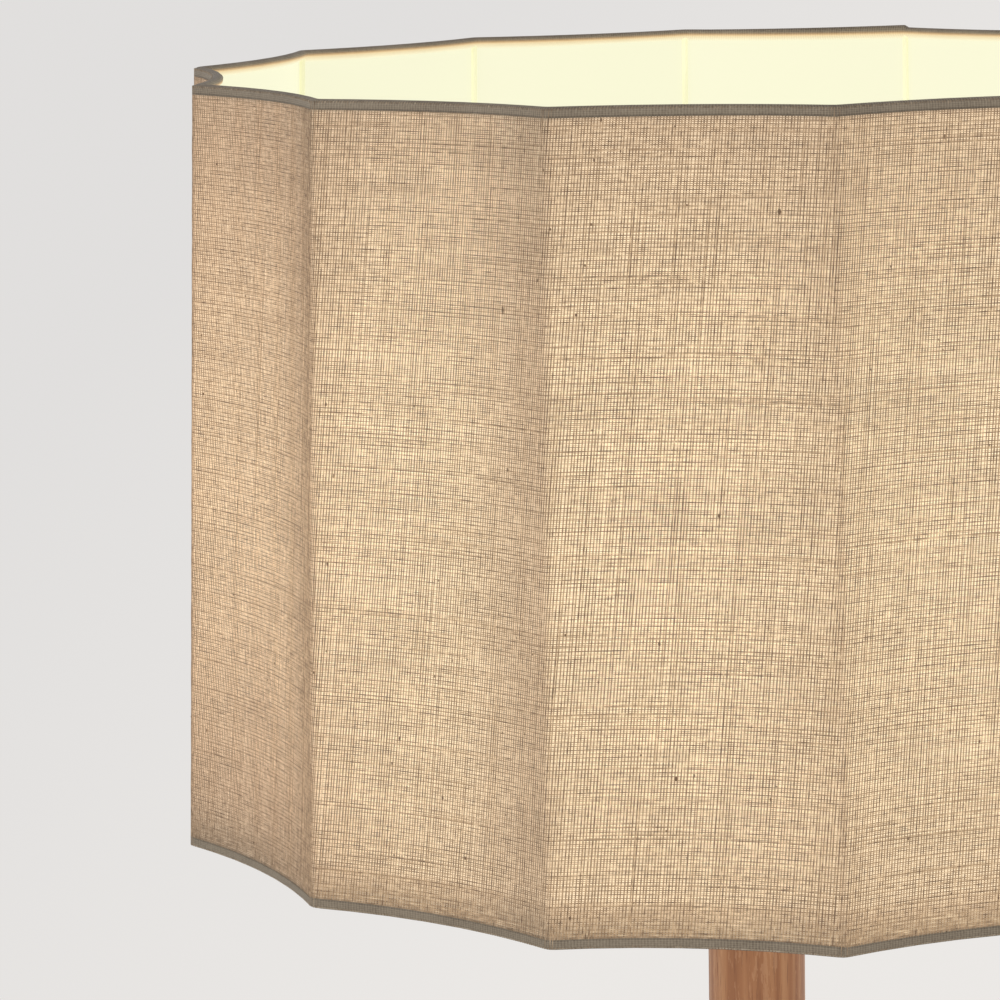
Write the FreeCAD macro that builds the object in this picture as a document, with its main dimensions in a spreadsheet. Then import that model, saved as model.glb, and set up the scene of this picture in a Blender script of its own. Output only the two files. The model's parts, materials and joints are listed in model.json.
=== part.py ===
"""Tripod floor lamp: a scalloped drum shade on a round wooden post over three folding wooden legs.

Millimetres. +Z is up, and the origin is on the lamp's axis at floor level. Bearings are polar angles
in degrees about +Z, counted from +X.
"""
import FreeCAD, Part
import math
import os
import re

import Sketcher
from FreeCAD import Placement, Rotation, Vector

UP = Vector(0, 0, 1)
SIDEWAYS = Vector(0, 1, 0)
ALONG_Y = Rotation(Vector(1, 0, 0), -90)
ALONG_X = Rotation(Vector(0, 1, 0), 90)

DIMENSIONS = {
    # Room between turned pieces that slip over one another, and between a nut and its thread.
    "slip_gap": 0.05,
    "thread_gap": 0.02,
    # How far a cutting tool runs past the face it starts from.
    "past_face": 10.0,
    # The shade: flat arcs between corners that stand on a slightly flared cone.
    "lamp_height": 1550.0,
    "shade_height": 293.0,
    "shade_top_radius": 222.0,
    "shade_bottom_radius": 232.5,
    "shade_top_dip": 7.5,
    "shade_bottom_dip": 6.5,
    "shade_bearing": -82.5,
    "panel_count": 14,
    "cover_thickness": 0.6,
    "lining_thickness": 0.5,
    "ring_wire_radius": 1.25,
    "rib_wire_radius": 1.2,
    "weld_radius": 1.3,
    "wire_gap": 0.05,
    "hem_thickness": 0.3,
    "hem_height": 4.2,
    "spoke_radius": 2.0,
    "spoke_count": 3,
    # The fitter ring that hangs the shade on the lampholder.
    "fitter_bottom": 1303.0,
    "fitter_thickness": 2.0,
    "fitter_radius": 30.0,
    "fitter_bore_radius": 20.1,
    "shade_nut_radius": 28.0,
    "shade_nut_height": 4.0,
    # Lampholder for an E27 cap.
    "holder_bottom": 1273.0,
    "holder_neck_radius": 9.0,
    "holder_wall": 1.5,
    "holder_neck_height": 3.0,
    "holder_dome_height": 5.5,
    "holder_dome_depth": 3.5,
    "holder_cone_height": 9.0,
    "holder_radius": 19.5,
    "sleeve_bottom": 1295.0,
    "sleeve_top": 1335.0,
    "sleeve_radius": 19.75,
    "sleeve_bore_radius": 17.2,
    "insert_bottom": 1290.5,
    "insert_top": 1303.0,
    "insert_radius": 17.1,
    "shell_top": 1330.0,
    "shell_radius": 14.2,
    "shell_bore_radius": 13.7,
    "contact_radius": 4.0,
    "contact_height": 2.5,
    # Rotary switch in the lampholder, with its knob outside.
    "switch_bearing": -20.0,
    "switch_height": 1286.0,
    "switch_width": 14.0,
    "switch_length": 16.0,
    "switch_block_height": 8.0,
    "spindle_radius": 2.0,
    "spindle_hole_radius": 2.08,
    "spindle_end": 31.0,
    "switch_knob_start": 24.0,
    "switch_knob_length": 12.0,
    "switch_knob_radius": 7.5,
    # A60 bulb.
    "bulb_contact_radius": 4.5,
    "bulb_contact_height": 2.5,
    "bulb_cap_radius": 13.3,
    "bulb_cap_wall": 0.4,
    "bulb_cap_top": 1333.0,
    "bulb_neck_radius": 12.8,
    "bulb_neck_bottom": 1328.0,
    "cap_taper": 4.0,
    "cap_floor": 1.0,
    "bulb_radius": 30.0,
    "bulb_centre_height": 1384.0,
    "bulb_wall": 0.8,
    # Post, with the threaded tube that clamps lampholder, post and hub together.
    "post_radius": 19.5,
    "post_bore_radius": 5.3,
    "post_bottom": 1084.0,
    "post_top": 1270.0,
    "post_chamfer": 1.0,
    "post_cap_radius": 20.0,
    "tube_radius": 5.0,
    "tube_bore_radius": 4.0,
    "tube_bottom": 1040.0,
    "tube_top": 1280.5,
    # Hub.
    "hub_bottom": 1024.0,
    "hub_top": 1108.0,
    "hub_radius": 44.0,
    "hub_top_radius": 30.0,
    "hub_shoulder": 1092.0,
    "hub_chamfer": 2.0,
    "hub_socket_radius": 19.55,
    "cavity_radius": 10.5,
    "cavity_top": 1052.0,
    "clamp_washer_height": 2.0,
    "clamp_nut_height": 6.0,
    "clamp_nut_radius": 9.5,
    "slot_width": 14.6,
    "slot_start": 13.2,
    "spotface_distance": 25.0,
    "knob_spotface_radius": 10.5,
    "head_spotface_radius": 8.5,
    "plate_radius": 15.5,
    "plate_thickness": 2.0,
    "plate_screw_circle": 12.9,
    "plate_screw_radius": 1.0,
    "plate_screw_head_radius": 2.2,
    "plate_screw_length": 10.0,
    "gland_bore_radius": 3.6,
    "gland_neck_radius": 6.0,
    "gland_radius": 8.0,
    "gland_bottom": 1004.0,
    "gland_taper": 3.0,
    "gland_top": 1024.0,
    "block_length": 12.0,
    "block_width": 10.0,
    "block_height": 8.0,
    "block_bottom": 1030.0,
    "lead_radius": 1.0,
    "lead_offset": 2.0,
    # Legs.
    "leg_bearing": -90.0,
    "leg_count": 3,
    "pivot_radius": 31.0,
    "pivot_height": 1060.0,
    "leg_splay": 13.4,
    "tongue_width": 26.0,
    "tongue_thickness": 14.0,
    "tongue_top": 15.0,
    "tongue_bottom": 44.0,
    "leg_shoulder": 40.0,
    "leg_top_radius": 15.0,
    "leg_foot_radius": 10.0,
    "stop_gap": 0.3,
    "bush_radius": 4.5,
    "bolt_radius": 3.0,
    "bolt_hole_radius": 3.05,
    "bolt_head_radius": 7.0,
    "bolt_head_height": 3.5,
    "bolt_end": 36.5,
    "knob_washer_radius": 8.0,
    "knob_washer_height": 1.2,
    "knob_gap": 0.3,
    "knob_radius": 9.0,
    "knob_length": 12.0,
    "knob_bore_end": 37.0,
    "foot_radius": 13.0,
    "foot_height": 24.0,
    "foot_sole": 4.0,
}

document = FreeCAD.newDocument("tripod_floor_lamp")
sheet = document.addObject("Spreadsheet::Sheet", "dims")
for row, (alias, number) in enumerate(DIMENSIONS.items(), start=1):
    sheet.set(f"A{row}", alias)
    sheet.set(f"B{row}", str(number))
    sheet.setAlias(f"B{row}", alias)
document.recompute()

parts = []


def bound(expression):
    """Put the sheet's name before each alias in an expression: aliases are its words with underscores."""
    return re.sub(r"[a-z]+(?:_[a-z]+)+", lambda alias: "dims." + alias.group(0), expression)


def size(expression):
    """The present value of an expression over the sheet."""
    return float(sheet.evalExpression(bound(expression)))


def keep(item, label):
    """Take a finished object as a sub-part of the lamp, under its own name."""
    item.Label = label
    parts.append(item)
    return item


def origin_plane(body, role):
    return next(plane for plane in body.Origin.OriginFeatures if plane.Role == role)


def turned(name, profile):
    """A body turned about the lamp's axis from a closed profile of (radius, height) expressions."""
    body = document.addObject("PartDesign::Body", name)
    sketch = body.newObject("Sketcher::SketchObject", name + "_profile")
    sketch.AttachmentSupport = [(origin_plane(body, "XZ_Plane"), "")]
    sketch.MapMode = "FlatFace"
    corners = [Vector(size(radius), size(height), 0) for radius, height in profile]
    for corner, following in zip(corners, corners[1:] + corners[:1]):
        sketch.addGeometry(Part.LineSegment(corner, following), False)
    for index, (radius, height) in enumerate(profile):
        following = (index + 1) % len(profile)
        sketch.addConstraint(Sketcher.Constraint("Coincident", index, 2, following, 1))
        if radius == "0":
            sketch.addConstraint(Sketcher.Constraint("PointOnObject", index, 1, -2))
        else:
            number = sketch.addConstraint(Sketcher.Constraint("DistanceX", -1, 1, index, 1, corners[index].x))
            sketch.setExpression(f"Constraints[{number}]", bound(radius))
        number = sketch.addConstraint(Sketcher.Constraint("DistanceY", -1, 1, index, 1, corners[index].y))
        sketch.setExpression(f"Constraints[{number}]", bound(height))
    revolution = body.newObject("PartDesign::Revolution", name + "_turning")
    revolution.Profile = sketch
    revolution.ReferenceAxis = (sketch, ["V_Axis"])
    revolution.Angle = 360
    body.Tip = revolution
    return body


def primitive(kind, name, sizes, placement):
    """A Part primitive whose sizes are bound to the sheet."""
    item = document.addObject(kind, name)
    for feature, expression in sizes.items():
        item.setExpression(feature, bound(expression))
    item.Placement = placement
    return item


def rod(name, radius, length, placement):
    return primitive("Part::Cylinder", name, {"Radius": radius, "Height": length}, placement)


def cut(name, base, tool):
    item = document.addObject("Part::Cut", name)
    item.Base = base
    item.Tool = tool
    return item


def fuse(name, items):
    item = document.addObject("Part::MultiFuse", name)
    item.Shapes = items
    return item


def group(name, items):
    item = document.addObject("Part::Compound", name)
    item.Links = items
    return item


def shaped(name, shape):
    """A sub-part whose shape comes from Part's own functions."""
    item = document.addObject("Part::Feature", name)
    item.Shape = shape
    return keep(item, name)


# ---------------------------------------------------------------- shade

PANELS = int(size("panel_count"))
SHADE_BOTTOM = size("lamp_height - shade_height")
SHADE_TOP = size("lamp_height")
WIRE_INSET = size("cover_thickness + lining_thickness + wire_gap + ring_wire_radius")
TOP_RING_HEIGHT = size("lamp_height - hem_thickness - wire_gap - ring_wire_radius")
BOTTOM_RING_HEIGHT = size("lamp_height - shade_height + hem_thickness + wire_gap + ring_wire_radius")


class Outline:
    """The shade's outline at one height: concave arcs between corners, moved inward by an inset."""

    def __init__(self, height, inset):
        up = (height - SHADE_BOTTOM) / (SHADE_TOP - SHADE_BOTTOM)
        corner = size("shade_bottom_radius") * (1 - up) + size("shade_top_radius") * up
        dip = size("shade_bottom_dip") * (1 - up) + size("shade_top_dip") * up
        half_panel = math.pi / PANELS
        chord = 2 * corner * math.sin(half_panel)
        arc = (chord * chord / 4 + dip * dip) / (2 * dip)
        corner_half_angle = math.pi / 2 - half_panel - math.asin(chord / 2 / arc)
        self.height = height
        self.arc_radius = arc + inset
        self.arc_distance = corner * math.cos(half_panel) - dip + arc
        self.corner_radius = corner - inset / math.sin(corner_half_angle)

    def bearing(self, panel):
        """Bearing of a corner, or of the middle of a panel at a half number."""
        return math.radians(size("shade_bearing") + panel * 360 / PANELS)

    def polar(self, radius, panel):
        angle = self.bearing(panel)
        return Vector(radius * math.cos(angle), radius * math.sin(angle), self.height)

    def corner(self, panel):
        return self.polar(self.corner_radius, panel)

    def reach(self, bearing):
        """Distance from the axis to the outline at any bearing in radians."""
        step = 2 * math.pi / PANELS
        off_middle = (bearing - self.bearing(0)) % step - step / 2
        across = self.arc_distance * math.sin(off_middle)
        return self.arc_distance * math.cos(off_middle) - math.sqrt(self.arc_radius**2 - across**2)

    def wire(self):
        middle_radius = self.arc_distance - self.arc_radius
        arcs = []
        for panel in range(PANELS):
            middle = self.polar(middle_radius, panel + 0.5)
            arcs.append(Part.Arc(self.corner(panel), middle, self.corner(panel + 1)).toShape())
        return Part.Wire(arcs)


def panel_prism(inset, low, high):
    """The solid inside the shade's outline between two heights."""
    return Part.makeLoft([Outline(low, inset).wire(), Outline(high, inset).wire()], True, True)


def panel_skin(outer_inset, inner_inset, low, high):
    """A skin that follows the panels, open at the top and bottom."""
    past_end = 1.0
    inside = panel_prism(inner_inset, low - past_end, high + past_end)
    return panel_prism(outer_inset, low, high).cut(inside)


def make_cover_and_lining():
    low = size("lamp_height - shade_height + hem_thickness + wire_gap")
    high = size("lamp_height - hem_thickness - wire_gap")
    cover = size("cover_thickness")
    lining = size("lining_thickness")
    shaped("shade_cover", panel_skin(0, cover, low, high))
    shaped("shade_lining", panel_skin(cover, cover + lining, low, high))


def make_hem(label, edge, inward, notches=()):
    """Linen turned over the skins and the ring wire; inward is +1 at the bottom edge and -1 at the top."""
    tape = size("hem_thickness")
    fold = size("cover_thickness + lining_thickness + 2 * (wire_gap + ring_wire_radius)")
    past_end = 1.0
    far = edge + inward * size("hem_height")
    roof = edge + inward * tape
    open_end = far + inward * past_end
    hem = panel_skin(-tape, fold + tape, min(edge, far), max(edge, far))
    hem = hem.cut(panel_skin(0, fold, min(roof, open_end), max(roof, open_end)))
    for notch in notches:
        hem = hem.cut(notch)
    shaped(label, hem)


def make_wire_ring(label, height):
    """A round wire bent to the outline, with a weld at each corner."""
    outline = Outline(height, WIRE_INSET)
    pieces = []
    for panel in range(PANELS):
        start = outline.corner(panel)
        end = outline.corner(panel + 1)
        centre = outline.polar(outline.arc_distance, panel + 0.5)
        from_start = start - centre
        to_end = end - centre
        sweep = math.degrees(from_start.getAngle(to_end))
        turn = UP if from_start.cross(to_end).z > 0 else -UP
        along = UP.cross(from_start)
        section = Part.Face(Part.Wire(Part.makeCircle(size("ring_wire_radius"), start, along)))
        pieces.append(section.revolve(centre, turn, sweep))
        pieces.append(Part.makeSphere(size("weld_radius"), start))
    shaped(label, pieces[0].multiFuse(pieces[1:]))


def make_ribs():
    bottom = Outline(BOTTOM_RING_HEIGHT, WIRE_INSET)
    top = Outline(TOP_RING_HEIGHT, WIRE_INSET)
    clear = size("weld_radius")
    ribs = []
    for panel in range(PANELS):
        run = top.corner(panel) - bottom.corner(panel)
        along = Vector(run).normalize()
        start = bottom.corner(panel) + along * clear
        ribs.append(Part.makeCylinder(size("rib_wire_radius"), run.Length - 2 * clear, start, along))
    shaped("shade_ribs", Part.Compound(ribs))


def spokes(clearance):
    """Rods from the fitter ring down and out to the bottom ring, each larger by a clearance."""
    outline = Outline(BOTTOM_RING_HEIGHT, WIRE_INSET)
    start_radius = size("fitter_radius - spoke_radius")
    end_height = BOTTOM_RING_HEIGHT + size("spoke_radius - ring_wire_radius")
    rods = []
    for spoke in range(int(size("spoke_count"))):
        bearing = math.radians(size("shade_bearing") + spoke * 360 / size("spoke_count"))
        outward = Vector(math.cos(bearing), math.sin(bearing), 0)
        start = outward * start_radius + Vector(0, 0, size("fitter_bottom + fitter_thickness / 2"))
        end = outward * outline.reach(bearing) + Vector(0, 0, end_height)
        run = end - start
        length = run.Length - size("weld_radius + wire_gap") + clearance
        rods.append(Part.makeCylinder(size("spoke_radius") + clearance, length, start, run))
    return rods


def make_spider():
    """The fitter ring with its spokes."""
    base = Vector(0, 0, size("fitter_bottom"))
    thickness = size("fitter_thickness")
    ring = Part.makeCylinder(size("fitter_radius"), thickness, base)
    ring = ring.cut(Part.makeCylinder(size("fitter_bore_radius"), thickness, base))
    shaped("shade_spider", ring.multiFuse(spokes(0)))


def make_shade():
    make_cover_and_lining()
    make_hem("top_hem", SHADE_TOP, -1)
    make_hem("bottom_hem", SHADE_BOTTOM, 1, notches=spokes(size("wire_gap")))
    make_wire_ring("top_ring", TOP_RING_HEIGHT)
    make_wire_ring("bottom_ring", BOTTOM_RING_HEIGHT)
    make_ribs()
    make_spider()


# ---------------------------------------------------------------- lampholder, switch and bulb


def tube_profile(inner, outer, low, high):
    return [(inner, low), (outer, low), (outer, high), (inner, high)]


def disc_profile(radius, low, high):
    return tube_profile("0", radius, low, high)


def switch_frame():
    """Frame at the switch spindle's height, with X pointing out along the spindle."""
    return Placement(Vector(0, 0, size("switch_height")), Rotation(UP, size("switch_bearing")))


def along_spindle(distance):
    return switch_frame() * Placement(Vector(distance, 0, 0), ALONG_X)


def make_holder():
    blank = turned("holder_cap_blank", [
        ("tube_radius + slip_gap", "holder_bottom"),
        ("holder_neck_radius", "holder_bottom"),
        ("holder_neck_radius", "holder_bottom + holder_neck_height"),
        ("holder_radius - holder_dome_depth", "holder_bottom + holder_dome_height"),
        ("holder_radius", "holder_bottom + holder_cone_height"),
        ("holder_radius", "sleeve_bottom"),
        ("holder_radius - holder_wall", "sleeve_bottom"),
        ("holder_radius - holder_wall", "holder_bottom + holder_cone_height + holder_wall / 2"),
        ("holder_radius - holder_dome_depth - holder_wall / 2",
         "holder_bottom + holder_dome_height + holder_wall"),
        ("tube_radius + slip_gap", "holder_bottom + holder_dome_height + holder_wall"),
    ])
    hole = rod("spindle_hole", "spindle_hole_radius", "holder_radius + past_face", along_spindle(0))
    keep(cut("holder_cap_drilled", blank, hole), "holder_cap")
    keep(turned("holder_sleeve_body", tube_profile(
        "sleeve_bore_radius", "sleeve_radius", "sleeve_bottom", "sleeve_top")), "holder_sleeve")
    keep(turned("lower_nut", tube_profile(
        "sleeve_radius + thread_gap", "shade_nut_radius", "fitter_bottom - shade_nut_height", "fitter_bottom",
    )), "lower_shade_ring")
    keep(turned("upper_nut", tube_profile(
        "sleeve_radius + thread_gap", "shade_nut_radius", "fitter_bottom + fitter_thickness",
        "fitter_bottom + fitter_thickness + shade_nut_height")), "upper_shade_ring")
    keep(turned("insert", disc_profile("insert_radius", "insert_bottom", "insert_top")), "holder_insert")
    keep(turned("shell", tube_profile(
        "shell_bore_radius", "shell_radius", "insert_top", "shell_top")), "screw_shell")
    keep(turned("contact", disc_profile(
        "contact_radius", "insert_top", "insert_top + contact_height")), "centre_contact")


def make_switch():
    corner = Vector(-size("switch_length") / 2, -size("switch_width") / 2, -size("switch_block_height") / 2)
    sizes = {"Length": "switch_length", "Width": "switch_width", "Height": "switch_block_height"}
    place = switch_frame() * Placement(corner, Rotation())
    keep(primitive("Part::Box", "block", sizes, place), "switch_block")
    start = size("switch_length / 2 + slip_gap")
    keep(rod("spindle", "spindle_radius", "spindle_end - switch_length / 2 - slip_gap", along_spindle(start)),
         "switch_spindle")
    knob = rod("switch_knob_blank", "switch_knob_radius", "switch_knob_length",
               along_spindle(size("switch_knob_start")))
    bore = rod("switch_knob_bore", "spindle_radius", "spindle_end - switch_knob_start",
               along_spindle(size("switch_knob_start")))
    keep(cut("switch_knob_bored", knob, bore), "switch_knob")


def bulb_envelope(wall):
    """The bulb, or its inside at a wall's distance: a neck in the cap, then a cone that runs smoothly
    into a ball."""
    ball = size("bulb_radius") - wall
    neck = size("bulb_neck_radius") - wall
    bottom = size("bulb_neck_bottom")
    shoulder = size("bulb_cap_top")
    centre = size("bulb_centre_height")
    rise = centre - shoulder
    below = math.atan2(neck, rise) + math.acos(ball / math.hypot(neck, rise))
    tangent = Vector(ball * math.sin(below), 0, centre - ball * math.cos(below))
    waist = Vector(ball, 0, centre)
    crown = Vector(0, 0, centre + ball)
    edges = [
        Part.LineSegment(Vector(0, 0, bottom), Vector(neck, 0, bottom)),
        Part.LineSegment(Vector(neck, 0, bottom), Vector(neck, 0, shoulder)),
        Part.LineSegment(Vector(neck, 0, shoulder), tangent),
        Part.Arc(tangent, waist, crown),
        Part.LineSegment(crown, Vector(0, 0, bottom)),
    ]
    face = Part.Face(Part.Wire([edge.toShape() for edge in edges]))
    return face.revolve(Vector(), UP, 360)


def make_bulb():
    keep(turned("tip", [
        ("0", "insert_top + contact_height"),
        ("bulb_contact_radius / 2", "insert_top + contact_height"),
        ("bulb_contact_radius", "insert_top + contact_height + bulb_contact_height"),
        ("0", "insert_top + contact_height + bulb_contact_height"),
    ]), "bulb_contact")
    base = "insert_top + contact_height + bulb_contact_height"
    keep(turned("screw_cap", [
        ("0", base),
        ("bulb_contact_radius", base),
        ("bulb_cap_radius", base + " + cap_taper"),
        ("bulb_cap_radius", "bulb_cap_top"),
        ("bulb_cap_radius - bulb_cap_wall", "bulb_cap_top"),
        ("bulb_cap_radius - bulb_cap_wall", base + " + cap_taper + bulb_cap_wall"),
        ("bulb_contact_radius", base + " + cap_floor"),
        ("0", base + " + cap_floor"),
    ]), "bulb_cap")
    shaped("bulb_glass", bulb_envelope(0).cut(bulb_envelope(size("bulb_wall"))))


# ---------------------------------------------------------------- post and hub


def make_post():
    keep(turned("dowel", [
        ("post_bore_radius", "post_bottom"),
        ("post_radius - post_chamfer", "post_bottom"),
        ("post_radius", "post_bottom + post_chamfer"),
        ("post_radius", "post_top - post_chamfer"),
        ("post_radius - post_chamfer", "post_top"),
        ("post_bore_radius", "post_top"),
    ]), "post")
    keep(turned("brass_disc", tube_profile(
        "tube_radius + slip_gap", "post_cap_radius", "post_top", "holder_bottom")), "post_cap")
    keep(turned("tube", tube_profile(
        "tube_bore_radius", "tube_radius", "tube_bottom", "tube_top")), "threaded_tube")
    keep(turned("washer", tube_profile(
        "tube_radius + slip_gap", "clamp_nut_radius", "cavity_top - clamp_washer_height", "cavity_top",
    )), "clamp_washer")
    keep(turned("nut", tube_profile(
        "tube_radius + slip_gap", "clamp_nut_radius",
        "cavity_top - clamp_washer_height - clamp_nut_height", "cavity_top - clamp_washer_height",
    )), "clamp_nut")


def hinge_frame(leg):
    """Frame at a leg's pivot: X points outward and Y along the bolt."""
    bearing = size("leg_bearing") + leg * 360 / size("leg_count")
    outward = Rotation(UP, bearing).multVec(Vector(size("pivot_radius"), 0, 0))
    return Placement(outward + Vector(0, 0, size("pivot_height")), Rotation(UP, bearing))


def leg_frame(leg):
    """The hinge frame tilted with the splayed leg, whose length runs down its Z axis."""
    return hinge_frame(leg) * Placement(Vector(), Rotation(SIDEWAYS, -size("leg_splay")))


def along_bolt(leg, distance):
    return hinge_frame(leg) * Placement(Vector(0, distance, 0), ALONG_Y)


def screw_place(leg, height):
    """Place of the plate screw beside a leg's slot, midway to the next one."""
    half_step = Rotation(UP, size("leg_bearing") + (leg + 0.5) * 360 / size("leg_count"))
    return Placement(half_step.multVec(Vector(size("plate_screw_circle"), 0, 0)) + UP * height, Rotation())


def make_hub(legs):
    blank = turned("hub_blank", [
        ("cavity_radius", "hub_bottom"),
        ("hub_radius - hub_chamfer", "hub_bottom"),
        ("hub_radius", "hub_bottom + hub_chamfer"),
        ("hub_radius", "hub_shoulder"),
        ("hub_top_radius", "hub_top"),
        ("hub_socket_radius", "hub_top"),
        ("hub_socket_radius", "post_bottom"),
        ("post_bore_radius", "post_bottom"),
        ("post_bore_radius", "cavity_top"),
        ("cavity_radius", "cavity_top"),
    ])
    roof = "tongue_width / 2 * sin(leg_splay) + tongue_top * cos(leg_splay) + stop_gap"
    drop = size("pivot_height - hub_bottom + past_face")
    slot_sizes = {
        "Length": "hub_radius - slot_start + past_face",
        "Width": "slot_width",
        "Height": f"pivot_height - hub_bottom + past_face + {roof}",
    }
    tools = []
    for leg in legs:
        slot_corner = Vector(size("slot_start - pivot_radius"), -size("slot_width") / 2, -drop)
        tools.append(primitive("Part::Box", f"slot_{leg}", slot_sizes,
                               hinge_frame(leg) * Placement(slot_corner, Rotation())))
        tools.append(rod(f"bolt_hole_{leg}", "bolt_hole_radius", "2 * hub_radius",
                         along_bolt(leg, -size("hub_radius"))))
        tools.append(rod(f"knob_seat_{leg}", "knob_spotface_radius", "hub_radius",
                         along_bolt(leg, size("spotface_distance"))))
        tools.append(rod(f"head_seat_{leg}", "head_spotface_radius", "hub_radius",
                         along_bolt(leg, -size("spotface_distance + hub_radius"))))
        tools.append(rod(f"pilot_{leg}", "plate_screw_radius", "plate_screw_length",
                         screw_place(leg, size("hub_bottom"))))
    keep(cut("hub_cut", blank, fuse("hub_tools", tools)), "hub")


def make_bottom_plate(legs):
    blank = turned("plate_blank", tube_profile(
        "gland_neck_radius + slip_gap", "plate_radius", "hub_bottom - plate_thickness", "hub_bottom"))
    below = size("hub_bottom - plate_thickness")
    holes = [rod(f"plate_hole_{leg}", "plate_screw_radius + slip_gap", "plate_thickness", screw_place(leg, below))
             for leg in legs]
    keep(cut("plate_drilled", blank, fuse("plate_holes", holes)), "bottom_plate")
    screws = []
    for leg in legs:
        shank = rod(f"screw_shank_{leg}", "plate_screw_radius", "plate_screw_length + plate_thickness",
                    screw_place(leg, below))
        head = rod(f"screw_head_{leg}", "plate_screw_head_radius", "plate_screw_radius",
                   screw_place(leg, below - size("plate_screw_radius")))
        screws.append(fuse(f"screw_{leg}", [shank, head]))
    keep(group("screws", screws), "plate_screws")


def make_wiring():
    keep(turned("gland", [
        ("gland_bore_radius", "gland_bottom"),
        ("gland_neck_radius", "gland_bottom"),
        ("gland_radius", "gland_bottom + gland_taper"),
        ("gland_radius", "hub_bottom - plate_thickness"),
        ("gland_neck_radius", "hub_bottom - plate_thickness"),
        ("gland_neck_radius", "gland_top"),
        ("gland_bore_radius", "gland_top"),
    ]), "cord_gland")
    corner = Vector(-size("block_length") / 2, -size("block_width") / 2, size("block_bottom"))
    sizes = {"Length": "block_length", "Width": "block_width", "Height": "block_height"}
    keep(primitive("Part::Box", "connector", sizes, Placement(corner, Rotation())), "terminal_block")
    start = size("block_bottom + block_height")
    length = "switch_height - switch_block_height / 2 - block_bottom - block_height"
    offset = size("lead_offset")
    leads = [rod(name, "lead_radius", length, Placement(Vector(side * offset, 0, start), Rotation()))
             for name, side in (("live_lead", 1), ("neutral_lead", -1))]
    keep(group("leads", leads), "inner_leads")


# ---------------------------------------------------------------- legs


def below_floor(name, height):
    """A block that holds everything under a height, for cutting a leg or a foot off level."""
    reach = 1000.0
    depth = 200.0
    block = document.addObject("Part::Box", name)
    block.Length = 2 * reach
    block.Width = 2 * reach
    block.Height = depth
    block.Placement = Placement(Vector(-reach, -reach, height - depth), Rotation())
    return block


def make_leg(leg):
    number = leg + 1
    frame = leg_frame(leg)
    past_floor = 10.0
    length = size("pivot_height / cos(leg_splay)") + past_floor
    tongue_corner = Vector(-size("tongue_width") / 2, -size("tongue_thickness") / 2, -size("tongue_bottom"))
    tongue = primitive("Part::Box", f"tongue_{number}", {
        "Length": "tongue_width",
        "Width": "tongue_thickness",
        "Height": "tongue_bottom + tongue_top",
    }, frame * Placement(tongue_corner, Rotation()))
    shaft = primitive("Part::Cone", f"leg_shaft_{number}", {
        "Radius1": "leg_foot_radius",
        "Radius2": "leg_top_radius",
        "Height": f"pivot_height / cos(leg_splay) + {past_floor} - leg_shoulder",
    }, frame * Placement(Vector(0, 0, -length), Rotation()))
    bush_hole = rod(f"bush_hole_{number}", "bush_radius", "2 * tongue_thickness",
                    along_bolt(leg, -size("tongue_thickness")))
    sole_line = below_floor(f"sole_line_{number}", size("foot_sole"))
    blank = fuse(f"leg_blank_{number}", [tongue, shaft])
    waste = fuse(f"leg_waste_{number}", [bush_hole, sole_line])
    wooden_leg = keep(cut(f"leg_cut_{number}", blank, waste), f"leg_{number}")

    bush = rod(f"bush_blank_{number}", "bush_radius", "tongue_thickness",
               along_bolt(leg, -size("tongue_thickness") / 2))
    bush_bore = rod(f"bush_bore_{number}", "bolt_hole_radius", "tongue_thickness",
                    along_bolt(leg, -size("tongue_thickness") / 2))
    keep(cut(f"bush_{number}", bush, bush_bore), f"leg_bush_{number}")

    cap = rod(f"foot_blank_{number}", "foot_radius", f"foot_height + {past_floor}",
              frame * Placement(Vector(0, 0, -length), Rotation()))
    trimmed = cut(f"foot_trimmed_{number}", cap, below_floor(f"floor_line_{number}", 0.0))
    keep(cut(f"foot_{number}", trimmed, wooden_leg), f"leg_foot_{number}")


def make_leg_knob(leg):
    number = leg + 1
    start = size("spotface_distance + knob_washer_height + knob_gap")
    blank = rod(f"knob_blank_{number}", "knob_radius", "knob_length", along_bolt(leg, start))
    bore = rod(f"knob_bore_{number}", "bolt_hole_radius",
               "knob_bore_end - spotface_distance - knob_washer_height - knob_gap", along_bolt(leg, start))
    keep(cut(f"knob_{number}", blank, bore), f"leg_knob_{number}")


def make_bolts(legs):
    bolts = []
    washers = []
    for leg in legs:
        seat = -size("spotface_distance")
        shank = rod(f"bolt_shank_{leg}", "bolt_radius", "spotface_distance + bolt_end", along_bolt(leg, seat))
        head = rod(f"bolt_head_{leg}", "bolt_head_radius", "bolt_head_height",
                   along_bolt(leg, seat - size("bolt_head_height")))
        bolts.append(fuse(f"bolt_{leg}", [shank, head]))
        disc = rod(f"washer_disc_{leg}", "knob_washer_radius", "knob_washer_height",
                   along_bolt(leg, size("spotface_distance")))
        hole = rod(f"washer_hole_{leg}", "bolt_hole_radius", "knob_washer_height",
                   along_bolt(leg, size("spotface_distance")))
        washers.append(cut(f"washer_{leg}", disc, hole))
    keep(group("bolts", bolts), "leg_bolts")
    keep(group("washers", washers), "bolt_washers")


def check_and_export():
    document.recompute()
    for item in document.Objects:
        if "Invalid" in item.State or "Error" in item.State:
            raise RuntimeError(f"{item.Name} failed: {item.State}")
    for part in parts:
        if part.Shape.isNull() or not part.Shape.isValid():
            raise RuntimeError(f"{part.Label} has no valid shape")
    os.makedirs("parts", exist_ok=True)
    for part in parts:
        part.Shape.exportStep(f"parts/{part.Label}.step")
        print(f"{part.Label:18s} solids {len(part.Shape.Solids):3d}  volume {part.Shape.Volume:12.1f} mm3")


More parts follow.
